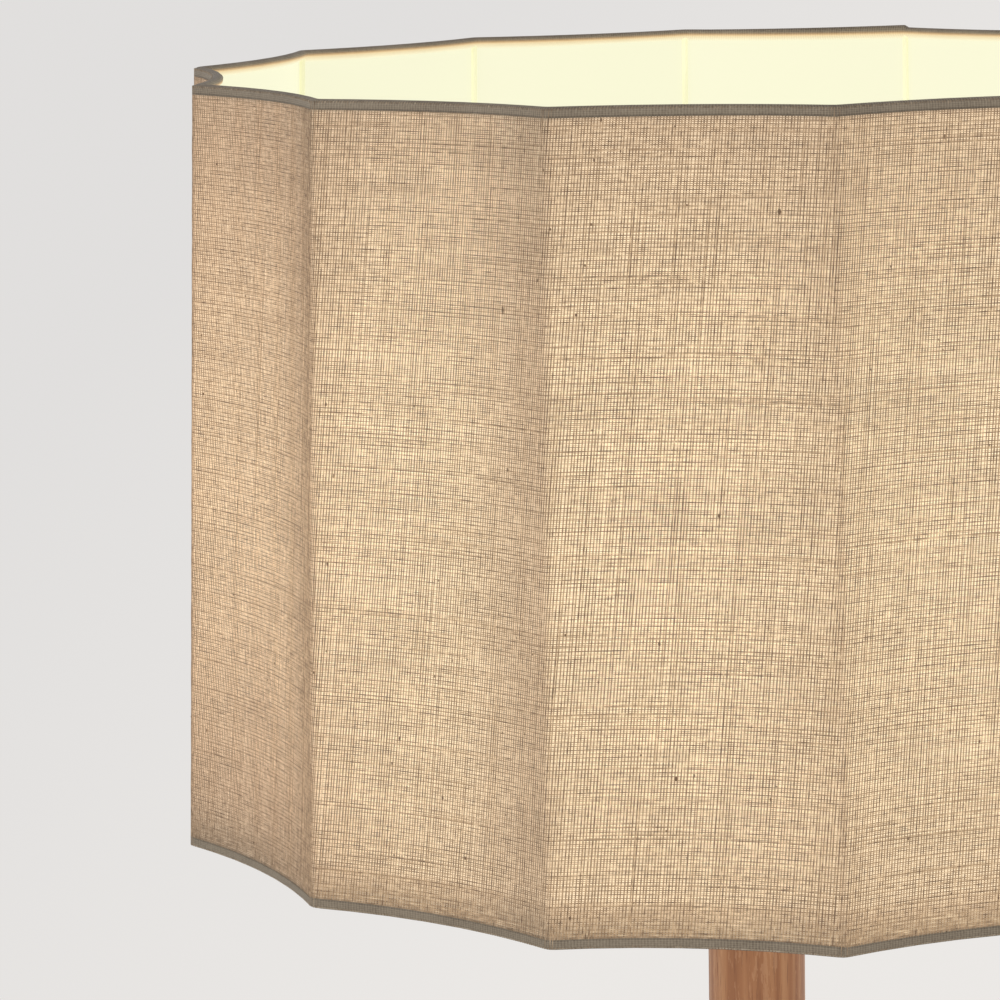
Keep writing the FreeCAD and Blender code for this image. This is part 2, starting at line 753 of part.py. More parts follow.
def make_lamp():
    legs = range(int(size("leg_count")))
    make_shade()
    make_holder()
    make_switch()
    make_bulb()
    make_post()
    make_hub(legs)
    make_bottom_plate(legs)
    make_wiring()
    for leg in legs:
        make_leg(leg)
        make_leg_knob(leg)
    make_bolts(legs)
    check_and_export()


make_lamp()
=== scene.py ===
import json
import math

import bpy
import numpy as np
from mathutils import Matrix, Vector


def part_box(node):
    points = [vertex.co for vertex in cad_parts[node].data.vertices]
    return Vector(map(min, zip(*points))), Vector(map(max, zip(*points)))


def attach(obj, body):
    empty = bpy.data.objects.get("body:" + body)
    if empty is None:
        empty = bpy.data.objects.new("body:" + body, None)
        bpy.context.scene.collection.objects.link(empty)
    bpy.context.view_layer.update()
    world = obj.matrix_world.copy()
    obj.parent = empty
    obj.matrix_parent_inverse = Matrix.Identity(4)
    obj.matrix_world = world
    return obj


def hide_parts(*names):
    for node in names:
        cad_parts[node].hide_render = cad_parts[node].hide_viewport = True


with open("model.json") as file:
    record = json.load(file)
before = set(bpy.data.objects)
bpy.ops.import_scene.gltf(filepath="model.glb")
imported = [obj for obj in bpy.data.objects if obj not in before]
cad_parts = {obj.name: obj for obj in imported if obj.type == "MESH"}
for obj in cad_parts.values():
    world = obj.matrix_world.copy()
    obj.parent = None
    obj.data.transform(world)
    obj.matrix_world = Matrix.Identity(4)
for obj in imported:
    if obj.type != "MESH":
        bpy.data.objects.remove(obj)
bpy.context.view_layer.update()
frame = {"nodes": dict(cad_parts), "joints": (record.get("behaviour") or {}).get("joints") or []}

# Lengths are in metres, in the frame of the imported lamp. MM turns millimetres into metres.
MM = 0.001
RANDOM = np.random.default_rng(14)

# ---------------------------------------------------------------- the shade's driving sizes

PANELS = 14
SHADE_BEARING = math.radians(-82.5)
SHADE_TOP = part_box("top_hem")[1][2]
SHADE_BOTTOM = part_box("bottom_hem")[0][2]
TOP_CORNER_RADIUS = 222.6 * MM
BOTTOM_CORNER_RADIUS = 233.0 * MM
TOP_DIP = 7.5 * MM
BOTTOM_DIP = 6.5 * MM
WARP_PITCH = 1.08 * MM
WEFT_PITCH = 0.695 * MM
WARP_LEAN = 0.080
PANEL_WIDTH = 2 * math.sin(math.pi / PANELS) * (TOP_CORNER_RADIUS + BOTTOM_CORNER_RADIUS) / 2
WARP_THREADS = int(PANELS * PANEL_WIDTH / WARP_PITCH)
CORNER_SOFTNESS = 1.7 * MM / PANEL_WIDTH
LAP_CORNER = 6
LAP_LENGTH = 0.9
LAP_THICKNESS = 1.0 * MM

# Where each panel has its columns of points, as shares of its width. Every layer of the shade uses them.
SPOTS = np.array([0, 0.022, 0.14, 0.29, 0.44, 0.59, 0.74, 0.88, 0.978])
AROUND = (np.arange(PANELS)[:, None] + SPOTS).ravel()

# Each panel dips a little more or less than the next, and each corner wanders a little on its way down.
PANEL_DIP_CHANGE = np.clip(RANDOM.normal(0, 0.35, PANELS), -0.3, 0.3) * MM
CORNER_WANDER = RANDOM.normal(0, 0.30 * MM / PANEL_WIDTH, PANELS)
CORNER_PHASE = RANDOM.uniform(0, 2 * math.pi, PANELS)


def sharp_outline(along, height, inset):
    """Points of the concave panels. along counts panels from the first corner, inset goes inward."""
    up = (height - SHADE_BOTTOM) / (SHADE_TOP - SHADE_BOTTOM)
    corner = BOTTOM_CORNER_RADIUS * (1 - up) + TOP_CORNER_RADIUS * up
    panel = np.floor(along)
    number = panel.astype(int) % PANELS
    dip = BOTTOM_DIP * (1 - up) + TOP_DIP * up + PANEL_DIP_CHANGE[number]
    half_panel = math.pi / PANELS
    half_chord = corner * math.sin(half_panel)
    arc = (half_chord**2 + dip**2) / (2 * dip)
    distance = corner * math.cos(half_panel) - dip + arc
    corner_half_angle = math.pi / 2 - half_panel - np.arcsin(half_chord / arc)
    inset_corner = corner - inset / np.sin(corner_half_angle)
    half_sweep = np.arctan2(
        inset_corner * math.sin(half_panel), distance - inset_corner * math.cos(half_panel)
    )
    sweep = (2 * (along - panel) - 1) * half_sweep
    outward = distance - (arc + inset) * np.cos(sweep)
    sideways = (arc + inset) * np.sin(sweep)
    bearing = SHADE_BEARING + (panel + 0.5) * 2 * half_panel
    x = outward * np.cos(bearing) - sideways * np.sin(bearing)
    y = outward * np.sin(bearing) + sideways * np.cos(bearing)
    return np.stack(np.broadcast_arrays(x, y, height), axis=-1)


def shade_points(along, height, inset):
    """The panels with softly bent corners."""
    along, height, inset = np.broadcast_arrays(along, height, inset)
    nearest = np.round(along).astype(int) % PANELS
    to_corner = np.abs(along - np.round(along))
    wave = np.sin(height / (70 * MM) + CORNER_PHASE[nearest])
    along = along + CORNER_WANDER[nearest] * wave * np.exp(-((to_corner / 0.15) ** 2))
    taps = np.array([-1.5, -0.75, 0, 0.75, 1.5]) * CORNER_SOFTNESS
    weights = np.array([1, 3, 4, 3, 1]) / 12
    return sum(weight * sharp_outline(along + tap, height, inset) for tap, weight in zip(taps, weights))


def smooth_noise(count, step, rows=1):
    """Rows of noise of unit size that changes over about the given number of samples."""
    knots = RANDOM.normal(0, 1, (rows, int(count / step) + 3))
    place = np.arange(count) / step
    low = place.astype(int)
    blend = place - low
    blend = blend * blend * (3 - 2 * blend)
    return knots[:, low] * (1 - blend) + knots[:, low + 1] * blend


def mesh_piece(name, points, faces, attributes=None, materials=(), body="stand", smooth=True, extra=None):
    """A mesh object that rides on a body. attributes maps a name to one number or vector per point, and extra
    holds triangles that come after the faces."""
    mesh = bpy.data.meshes.new(name)
    points = np.asarray(points, dtype=np.float32).reshape(-1, 3)
    sets = [np.asarray(each, dtype=np.int32) for each in (faces, extra) if each is not None]
    corners = np.concatenate([each.ravel() for each in sets])
    sizes = np.concatenate([np.full(len(each), each.shape[1]) for each in sets])
    mesh.vertices.add(len(points))
    mesh.vertices.foreach_set("co", points.ravel())
    mesh.loops.add(len(corners))
    mesh.loops.foreach_set("vertex_index", corners)
    mesh.polygons.add(len(sizes))
    mesh.polygons.foreach_set("loop_start", (np.cumsum(sizes) - sizes).astype(np.int32))
    mesh.update(calc_edges=True)
    mesh.validate()
    mesh.shade_smooth() if smooth else mesh.shade_flat()
    for key, values in (attributes or {}).items():
        values = np.asarray(values, dtype=np.float32)
        vector = values.size == 3 * len(points)
        layer = mesh.attributes.new(key, "FLOAT_VECTOR" if vector else "FLOAT", "POINT")
        layer.data.foreach_set("vector" if vector else "value", values.ravel())
    for material in materials:
        mesh.materials.append(material)
    piece = bpy.data.objects.new(name, mesh)
    bpy.context.scene.collection.objects.link(piece)
    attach(piece, body)
    return piece


def strip_faces(strips, rows, columns, closed_rows=False, closed_columns=False):
    """Quads of several grids of points, numbered strip by strip, row by row."""
    row = np.arange(rows if closed_rows else rows - 1)
    column = np.arange(columns if closed_columns else columns - 1)
    strip, row, column = np.meshgrid(np.arange(strips), row, column, indexing="ij")
    start = strip * rows * columns
    next_row = (row + 1) % rows
    next_column = (column + 1) % columns
    quad = [
        start + row * columns + column,
        start + row * columns + next_column,
        start + next_row * columns + next_column,
        start + next_row * columns + column,
    ]
    return np.stack(quad, axis=-1).reshape(-1, 4)


# ---------------------------------------------------------------- materials


class Nodes:
    """Short ways to build a node material."""

    def __init__(self, name):
        self.material = bpy.data.materials.new(name)
        self.material.use_nodes = True
        self.tree = self.material.node_tree
        self.shader = next(node for node in self.tree.nodes if node.type == "BSDF_PRINCIPLED")

    def node(self, kind, **settings):
        made = self.tree.nodes.new(kind)
        for key, value in settings.items():
            setattr(made, key, value)
        return made

    def put(self, socket, value):
        """Link a socket, or set it to a plain value."""
        if isinstance(value, bpy.types.NodeSocket):
            self.tree.links.new(value, socket)
        else:
            socket.default_value = value

    def math(self, operation, *values):
        made = self.node("ShaderNodeMath", operation=operation)
        for socket, value in zip(made.inputs, values):
            self.put(socket, value)
        return made.outputs[0]

    def mix(self, amount, first, second):
        made = self.node("ShaderNodeMix", data_type="RGBA")
        self.put(made.inputs["Factor"], amount)
        self.put(made.inputs["A"], first)
        self.put(made.inputs["B"], second)
        return made.outputs["Result"]

    def tint(self, first, second):
        """The product of two colours."""
        made = self.node("ShaderNodeVectorMath", operation="MULTIPLY")
        self.put(made.inputs[0], first)
        self.put(made.inputs[1], second)
        return made.outputs[0]

    def dim_warmth(self, glow):
        """Light that comes through dimly, or on the sides of the shade, is redder."""
        side = self.mix(self.attribute("side").outputs["Fac"], (1, 1, 1, 1), SIDE_TINT)
        return self.tint(side, self.ramp(glow, (DIM_BELOW, DIM_TINT), (1.0, (1.0, 1.0, 1.0))))

    def attribute(self, name):
        return self.node("ShaderNodeAttribute", attribute_name=name)

    def ramp(self, value, *stops):
        made = self.node("ShaderNodeValToRGB")
        self.put(made.inputs[0], value)
        while len(made.color_ramp.elements) < len(stops):
            made.color_ramp.elements.new(0.5)
        for element, (place, colour) in zip(made.color_ramp.elements, stops):
            element.position = place
            element.color = colour if len(colour) == 4 else (*colour, 1)
        return made.outputs[0]

    def noise(self, vector, scale, detail=3.0, roughness=0.55):
        made = self.node("ShaderNodeTexNoise")
        self.put(made.inputs["Vector"], vector)
        made.inputs["Scale"].default_value = scale
        made.inputs["Detail"].default_value = detail
        made.inputs["Roughness"].default_value = roughness
        return made.outputs["Fac"]

    def object_place(self, scale=(1, 1, 1), rotation=(0, 0, 0), location=(0, 0, 0)):
        mapping = self.node("ShaderNodeMapping")
        self.put(mapping.inputs["Vector"], self.node("ShaderNodeTexCoord").outputs["Object"])
        mapping.inputs["Scale"].default_value = scale
        mapping.inputs["Rotation"].default_value = rotation
        mapping.inputs["Location"].default_value = location
        return mapping.outputs[0]

    def bump(self, height, distance, strength=1.0):
        made = self.node("ShaderNodeBump")
        self.put(made.inputs["Height"], height)
        made.inputs["Distance"].default_value = distance
        made.inputs["Strength"].default_value = strength
        self.put(self.shader.inputs["Normal"], made.outputs[0])

    def set(self, **sockets):
        """Fill the shader's sockets, named with _ for each space, and return the material."""
        for key, value in sockets.items():
            self.put(self.shader.inputs[key.replace("_", " ")], value)
        return self.material


LINEN_DARK = (0.160, 0.112, 0.070)
LINEN_PLAIN = (0.310, 0.243, 0.172)
# The pale end of the yarn's colour also serves as painted highlight: glints of the key light on the threads.
LINEN_PALE_AND_GLINT = (0.540, 0.460, 0.360)
THROUGH_DARK = (0.04, 0.015, 0.005)
THROUGH_PLAIN = (0.250, 0.147, 0.061)
THROUGH_LIGHT = (0.56, 0.415, 0.22)
LINING_OUTSIDE = (0.97, 0.81, 0.56, 1)
LINING_INSIDE = (0.975, 0.9875, 0.725)
LINING_LOW_EDGE = (0.98, 0.90, 0.62)
LINING_UNLIT = (0.40, 0.35, 0.27, 1)
LINING_UNLIT_INSIDE = (0.16, 0.14, 0.11, 1)
SIDE_TINT = (1.0, 0.92, 0.89, 1)
DIM_TINT = (1.0, 0.885, 0.835)
DIM_BELOW = 0.60
TURNED_DARK = (0.080, 0.058, 0.038)
TURNED_PLAIN = (0.250, 0.206, 0.152)
TURNED_LIGHT = (0.37, 0.32, 0.245)
THREAD_GLOW = 1.06
SLUB_TONE = 8.0
LINING_GLOW = 1.02
INNER_GLOW = 0.80


def linen_material():
    """Flax yarn, with the light from behind painted as glow. tone is lighter above 0, and glow is how much
    light comes through.
    across runs from -1 to 1 over a thread's width."""
    nodes = Nodes("linen")
    tone = nodes.attribute("tone").outputs["Fac"]
    glow = nodes.attribute("glow").outputs["Fac"]
    is_weft = nodes.attribute("is_weft").outputs["Fac"]
    across = nodes.attribute("across").outputs["Fac"]
    along_warp = nodes.noise(nodes.object_place((1, 1, 0.40)), 900.0, 2.0)
    along_weft = nodes.noise(nodes.object_place((0.30, 0.30, 1)), 900.0, 2.0)
    slub = nodes.node("ShaderNodeMix", data_type="FLOAT")
    nodes.put(slub.inputs["Factor"], is_weft)
    nodes.put(slub.inputs["A"], along_warp)
    nodes.put(slub.inputs["B"], along_weft)
    fibre = nodes.noise(nodes.object_place(), 2200.0, 2.0)
    cloud = nodes.noise(nodes.object_place((1, 1, 2.4)), 22.0, 3.0)
    value = nodes.math("ADD", tone, nodes.math("MULTIPLY_ADD", slub.outputs[0], SLUB_TONE, -SLUB_TONE / 2))
    value = nodes.math("ADD", value, nodes.math("MULTIPLY_ADD", fibre, 1.6, -0.8))
    value = nodes.math("ADD", value, nodes.math("MULTIPLY_ADD", cloud, 1.2, -0.6))
    place = nodes.math("MULTIPLY_ADD", value, 0.2, 0.5)
    colour = nodes.ramp(place, (0.0, LINEN_DARK), (0.5, LINEN_PLAIN), (1.0, LINEN_PALE_AND_GLINT))
    through = nodes.ramp(place, (0.0, THROUGH_DARK), (0.5, THROUGH_PLAIN), (1.0, THROUGH_LIGHT))
    round_off = nodes.math("SUBTRACT", 1.0, nodes.math("MULTIPLY", across, across))
    nodes.bump(nodes.math("ADD", fibre, nodes.math("MULTIPLY", round_off, is_weft)), 0.1 * MM, 0.6)
    return nodes.set(Base_Color=colour, Roughness=0.9, Sheen_Weight=0.1,
                     Emission_Color=nodes.tint(through, nodes.dim_warmth(glow)),
                     Emission_Strength=nodes.math("MULTIPLY", glow, THREAD_GLOW))


def lining_material():
    """Pale laminate lit from inside, with the light through it and the bulb's light on its inner face painted
    as glow. inside is 1 on its inner face, and up runs from 0 to 1 with height.
    """
    nodes = Nodes("lining")
    glow = nodes.attribute("glow").outputs["Fac"]
    inside = nodes.attribute("inside").outputs["Fac"]
    up = nodes.attribute("up").outputs["Fac"]
    cloud = nodes.noise(nodes.object_place((1, 1, 2.2)), 24.0, 4.0)
    streak = nodes.noise(nodes.object_place((1, 1, 14)), 45.0, 2.0)
    # The painted glow on the inner face is warmer just above the bottom edge.
    inner = nodes.ramp(up, (0.0, LINING_LOW_EDGE), (0.06, LINING_INSIDE))
    lit = nodes.mix(inside, LINING_OUTSIDE, inner)
    clouds = nodes.math("MULTIPLY_ADD", cloud, 0.36, 0.82)
    streaks = nodes.math("MULTIPLY_ADD", streak, 0.28, -0.14)
    patchy = nodes.math("MULTIPLY", glow, nodes.math("ADD", clouds, streaks))
    outside_strength = nodes.math("MULTIPLY", patchy, LINING_GLOW)
    outside = nodes.math("SUBTRACT", 1.0, inside)
    strength = nodes.math("ADD", nodes.math("MULTIPLY", outside_strength, outside),
                          nodes.math("MULTIPLY", inside, INNER_GLOW))
    nodes.bump(cloud, 0.2 * MM, 0.3)
    lit = nodes.tint(lit, nodes.mix(inside, nodes.dim_warmth(glow), (1, 1, 1, 1)))
    base = nodes.mix(inside, LINING_UNLIT, LINING_UNLIT_INSIDE)
    return nodes.set(Base_Color=base, Roughness=0.6, Emission_Color=lit, Emission_Strength=strength)


def hem_material():
    """The cover's own linen turned over the wire: woven, but with no light behind it. edge is 1 on the fold,
    where its colour is dimmed as painted shade, and lit is 1 where the turned cloth faces the bulb, whose
    light there is painted as glow."""
    nodes = Nodes("hem_tape")
    separate = nodes.node("ShaderNodeSeparateXYZ")
    nodes.put(separate.inputs[0], nodes.attribute("weave").outputs["Vector"])
    turns = [nodes.math("MULTIPLY", thread, 2 * math.pi) for thread in separate.outputs[:2]]
    waves = [nodes.math("SINE", turn) for turn in turns]
    edge = nodes.attribute("edge").outputs["Fac"]
    fibre = nodes.noise(nodes.object_place(), 1100.0, 3.0)
    fade = nodes.noise(nodes.object_place(), 40.0, 2.0)
    grid = nodes.math("ADD", nodes.math("MULTIPLY", waves[0], 0.10), nodes.math("MULTIPLY", waves[1], 0.08))
    worn = nodes.math("ADD", nodes.math("MULTIPLY", fibre, 0.5), nodes.math("MULTIPLY", fade, 0.3))
    value = nodes.math("ADD", grid, worn)
    # Painted shade: the colour is dimmed on the fold.
    value = nodes.math("SUBTRACT", value, nodes.math("MULTIPLY", edge, 0.30))
    colour = nodes.ramp(value, (0.0, TURNED_DARK), (0.42, TURNED_PLAIN), (0.85, TURNED_LIGHT))
    nodes.bump(nodes.math("ADD", grid, nodes.math("MULTIPLY", fibre, 0.3)), 0.25 * MM, 0.7)
    lit = nodes.attribute("lit").outputs["Fac"]
    glow = nodes.ramp(lit, (0.0, (0.0, 0.0, 0.0)), (0.25, (0.36, 0.19, 0.07)), (0.6, (0.78, 0.56, 0.28)),
                      (1.0, (0.96, 0.97, 0.71)))
    return nodes.set(Base_Color=colour, Roughness=0.88, Sheen_Weight=0.1, Emission_Color=glow,
                     Emission_Strength=INNER_GLOW)


# ---------------------------------------------------------------- the shade

# Bearing round the shade where the painted glow is brightest; the bulb itself stands on the shade's axis.
BRIGHTEST_GLOW_BEARING = math.radians(-70)
COVER_DEPTH = 0.6 * MM
LINING_DEPTH = 0.9 * MM
TOP_HEM = 3.7 * MM
BOTTOM_HEM = 4.1 * MM
RIM_WIDTH = 4.8 * MM
FOLD_RISE = 1.75 * MM
FOLD_END = 5.0 * MM
COVER_LOW = SHADE_BOTTOM + 0.6 * MM
COVER_HIGH = SHADE_TOP - 0.6 * MM
WEFT_THREADS = int((COVER_HIGH - COVER_LOW) / WEFT_PITCH)
WARP_HALF_WIDTH = 0.235 * WARP_PITCH
WEFT_HALF_WIDTH = 0.25 * WEFT_PITCH
WARP_INSET = 0.46 * MM
WEFT_INSET = 0.44 * MM
THREAD_RISE = 0.17 * MM
NEPS = 820
# Across a thread, as shares of its half width and of its rise above its flat side.
ARCH_SIDE = np.array([-1.0, 0.0, 1.0])
ARCH_RISE = np.array([0.0, 1.0, 0.0])


def away_from_brightest_glow(along):
    """0 at the bearing where the painted glow is brightest, and more the further round the shade."""
    bearing = SHADE_BEARING + along * 2 * math.pi / PANELS
    return np.minimum(1 - np.cos(bearing - BRIGHTEST_GLOW_BEARING), 0.8)


def side_at(along):
    """0 on the front of the shade, rising to 1 on the panels furthest round from where the painted glow is
    brightest, where that painted glow is tinted redder.
    """
    return np.clip((away_from_brightest_glow(along) - 0.45) / 0.3, 0, 1)


def glow_at(along, height):
    """How much light comes through, painted as glow: most beside the bulb, less near the top and bottom
    edges, most of all far round from the bearing of the brightest glow, less just before each corner as
    painted shade, less in front of each upright wire as a painted shadow, and none at the hems."""
    level = (height - (SHADE_TOP + SHADE_BOTTOM) / 2) / ((SHADE_TOP - SHADE_BOTTOM) / 2)
    away = away_from_brightest_glow(along)
    # Painted falloff of the glow towards the top and bottom edges, steeper far round from the bearing of the
    # brightest glow.
    low_down = 0.17 + 0.08 * np.clip(away / 0.3, 0, 1) + 0.42 * np.clip((away - 0.5) / 0.3, 0, 1)
    from_bulb = 1.0 - np.where(level > 0, 0.31 + 0.26 * away, low_down) * np.abs(level) ** 2.2
    # Painted shade: each panel's glow dims just before its next corner, more so away from the bearing of the
    # brightest glow.
    before_corner = 1 - (along - np.floor(along))
    crease_shade_depth = 0.05 + 0.29 * np.clip(5 * away, 0, 1) - 0.10 * np.clip(5 * away - 1.25, 0, 1)
    crease_shade = 1 - crease_shade_depth * np.exp(-((before_corner / 0.3) ** 3))
    to_corner = np.abs(along - np.round(along)) * PANEL_WIDTH
    wire_shadow = 1 - 0.24 * np.exp(-((to_corner / (1.8 * MM)) ** 2))
    past_hems = np.minimum(height - SHADE_BOTTOM - BOTTOM_HEM, SHADE_TOP - TOP_HEM - height)
    return from_bulb * crease_shade * wire_shadow * np.clip((past_hems + 0.4 * MM) / (1.2 * MM), 0, 1)


def warp_threads():
    """Upright threads, arched across, that lean a little as the cloth was cut."""
    shares = np.concatenate([[0, 0.017], np.linspace(0.08, 0.92, 12), [0.983, 1]])
    heights = COVER_LOW + (COVER_HIGH - COVER_LOW) * shares
    levels = len(heights)
    spacing = PANELS / WARP_THREADS
    centre = (np.arange(WARP_THREADS) + 0.5 + RANDOM.normal(0, 0.04, WARP_THREADS)) * spacing
    lean = WARP_LEAN * (heights - heights.mean()) / PANEL_WIDTH
    centre = centre[:, None] + lean + smooth_noise(levels, 1.5, WARP_THREADS) * 0.07 * spacing
    thick = RANDOM.lognormal(0, 0.05, WARP_THREADS)[:, None]
    thick = thick * (1 + 0.07 * smooth_noise(levels, 1.0, WARP_THREADS))
    half_width = WARP_HALF_WIDTH * thick / PANEL_WIDTH
    along = centre[:, :, None] + half_width[:, :, None] * ARCH_SIDE
    height = np.broadcast_to(heights[None, :, None], along.shape)
    rise = (THREAD_RISE * np.minimum(thick, 1.1))[:, :, None] * ARCH_RISE
    tone = 0.12 * RANDOM.normal(0, 1, WARP_THREADS)[:, None] + 0.25 * smooth_noise(levels, 1.0, WARP_THREADS)
    tone = tone - 1.0 + 0.3 * (np.arange(WARP_THREADS) % 2)[:, None]
    return strip(along, height, WARP_INSET - rise, tone, ARCH_SIDE, strip_faces(WARP_THREADS, levels, 3), 0)


def weft_threads():
    """Flat threads that run round the shade. Every second one shows more, as in a plain weave."""
    count = len(AROUND)
    level = COVER_LOW + (np.arange(WEFT_THREADS) + 0.5 + RANDOM.normal(0, 0.035, WEFT_THREADS)) * WEFT_PITCH
    level = level[:, None] + smooth_noise(count, 4, WEFT_THREADS) * 0.07 * WEFT_PITCH
    second = (np.arange(WEFT_THREADS) % 2)[:, None]
    thick = RANDOM.lognormal(0, 0.08, WEFT_THREADS)[:, None]
    thick = thick * (1 + 0.14 * smooth_noise(count, 1.3, WEFT_THREADS))
    thick = np.clip(thick * (0.78 + 0.44 * second), 0.35, 2.0)
    side = np.array([-1.0, 1.0])
    height = level[:, :, None] + (WEFT_HALF_WIDTH * thick)[:, :, None] * side
    along = np.broadcast_to(AROUND[None, :, None], height.shape)
    tone = 0.15 * RANDOM.normal(0, 1, WEFT_THREADS)[:, None] + 0.3 * smooth_noise(count, 1.1, WEFT_THREADS)
    # The weft's tone is raised towards the pale end of the yarn's colour, as painted glints along it.
    tone = tone + 0.4 - 0.9 * second
    faces = strip_faces(WEFT_THREADS, count, 2, closed_rows=True)
    return strip(along, height, WEFT_INSET, tone, side, faces, 1)


def neps():
    """Dark flecks of fibre caught in the yarn: low cones of six sides."""
    along = RANDOM.uniform(0, PANELS, NEPS)[:, None]
    height = RANDOM.uniform(COVER_LOW + BOTTOM_HEM, COVER_HIGH - TOP_HEM, NEPS)[:, None]
    turn = np.arange(6) * math.pi / 3
    size = 0.25 * MM * RANDOM.lognormal(0, 0.35, (NEPS, 1))
    stretch = RANDOM.uniform(0.5, 2.4, (NEPS, 1))
    ring_along = along + size * np.cos(turn) / PANEL_WIDTH
    ring_height = height + size * stretch * np.sin(turn)
    along = np.concatenate([along, ring_along], axis=1)[:, None, :]
    height = np.concatenate([height, ring_height], axis=1)[:, None, :]
    inset = np.where(np.arange(7) == 0, 0.0, 0.22 * MM)
    after = np.roll(np.arange(1, 7), -1)
    fan = np.stack([np.zeros(6, dtype=int), np.arange(1, 7), after, after], axis=-1)
    faces = (fan + 7 * np.arange(NEPS)[:, None, None]).reshape(-1, 4)
    tone = RANDOM.uniform(-4.5, -2.0, (NEPS, 1))
    return strip(along, height, inset, tone, np.zeros(7), faces, 0)


def strip(along, height, inset, tone, across, faces, is_weft):
    """What mesh_piece needs of one set of threads, from grids of thread by place by point across."""
    shape = along.shape
    return {
        "points": shade_points(along, height, np.broadcast_to(inset, shape)).reshape(-1, 3),
        "faces": faces,
        "glow": glow_at(along, height).ravel(),
        "side": side_at(along).ravel(),
        "tone": np.broadcast_to(tone[:, :, None], shape).ravel(),
        "across": np.broadcast_to(across, shape).ravel(),
        "is_weft": np.full(along.size, float(is_weft)),
    }


def make_linen():
    """The woven cover: upright warp threads outside a weft that runs round the shade, with neps."""
    sets = [warp_threads(), weft_threads(), neps()]
    starts = np.cumsum([0] + [len(each["points"]) for each in sets])
    quads = [each["faces"] + start for each, start in zip(sets[:2], starts)]
    points = np.concatenate([each["points"] for each in sets])
    names = ("glow", "side", "tone", "across", "is_weft")
    layers = {key: np.concatenate([each[key] for each in sets]) for key in names}
    fans = (sets[2]["faces"] + starts[2])[:, :3]
    piece = mesh_piece("linen_cover", points, np.concatenate(quads), layers, [linen_material()], extra=fans)
    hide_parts("shade_cover")
    return piece


def make_lining():
    """A thin closed sheet behind the threads, with its outer and its inner face."""
    near_top = SHADE_TOP - np.array([16, 12, 9, 7, 5.5, 4.2, 2]) * MM
    heights = np.concatenate([np.linspace(COVER_LOW, COVER_HIGH - 24 * MM, 16), near_top])
    depth = np.array([COVER_DEPTH + 0.02 * MM, LINING_DEPTH])
    shape = (2, len(heights), len(AROUND))
    along = np.broadcast_to(AROUND[None, None, :], shape)
    height = np.broadcast_to(heights[None, :, None], shape)
    points = shade_points(along, height, np.broadcast_to(depth[:, None, None], shape))
    rows = len(heights)
    count = len(AROUND)
    faces = strip_faces(2, rows, count, closed_columns=True)
    half = len(faces) // 2
    faces[half:] = faces[half:, ::-1]
    # The two faces meet at the top and bottom edge.
    here = np.arange(count)
    after = (here + 1) % count
    other = rows * count
    top = (rows - 1) * count
    rim_low = np.stack([here, here + other, after + other, after], axis=-1)
    rim_high = np.stack([top + here, top + after, top + after + other, top + here + other], axis=-1)
    faces = np.concatenate([faces, rim_low, rim_high])
    inside = np.broadcast_to(np.array([0.0, 1.0])[:, None, None], shape)
    up = (height - SHADE_BOTTOM) / (SHADE_TOP - SHADE_BOTTOM)
    layers = {"glow": glow_at(along, height), "side": side_at(along), "inside": inside, "up": up}
    piece = mesh_piece("lining", points, faces, layers, [lining_material()])
    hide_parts("shade_lining")
    return piece


def hem_section(depth):
    """The turned edge across the shade, as insets and distances down from the fold: up behind the outermost
    threads, round the ring wire, and back to the lining. Returns its outer and its inner line."""
    outer = 0.30 * MM
    cloth = 0.25 * MM
    middle = (outer + RIM_WIDTH) / 2
    reach = (RIM_WIDTH - outer) / 2
    over = np.linspace(math.pi, 0, 11)
    fold = np.stack([middle + reach * np.cos(over), FOLD_RISE * (1 - np.sin(over))], axis=-1)
    down_outside = [(outer, depth), (outer, 0.7 * depth)]
    back_to_lining = [
        (RIM_WIDTH - cloth, 1.6 * FOLD_RISE), (LINING_DEPTH + 2 * cloth, FOLD_END), (LINING_DEPTH, FOLD_END),
    ]
    outside = np.concatenate([down_outside, fold, back_to_lining])
    inside = outside[::-1].copy()
    inside[:, 0] = middle + (inside[:, 0] - middle) * (1 - cloth / reach)
    inside[:, 1] = FOLD_RISE + (inside[:, 1] - FOLD_RISE) * (1 - cloth / FOLD_RISE)
    return outside, inside


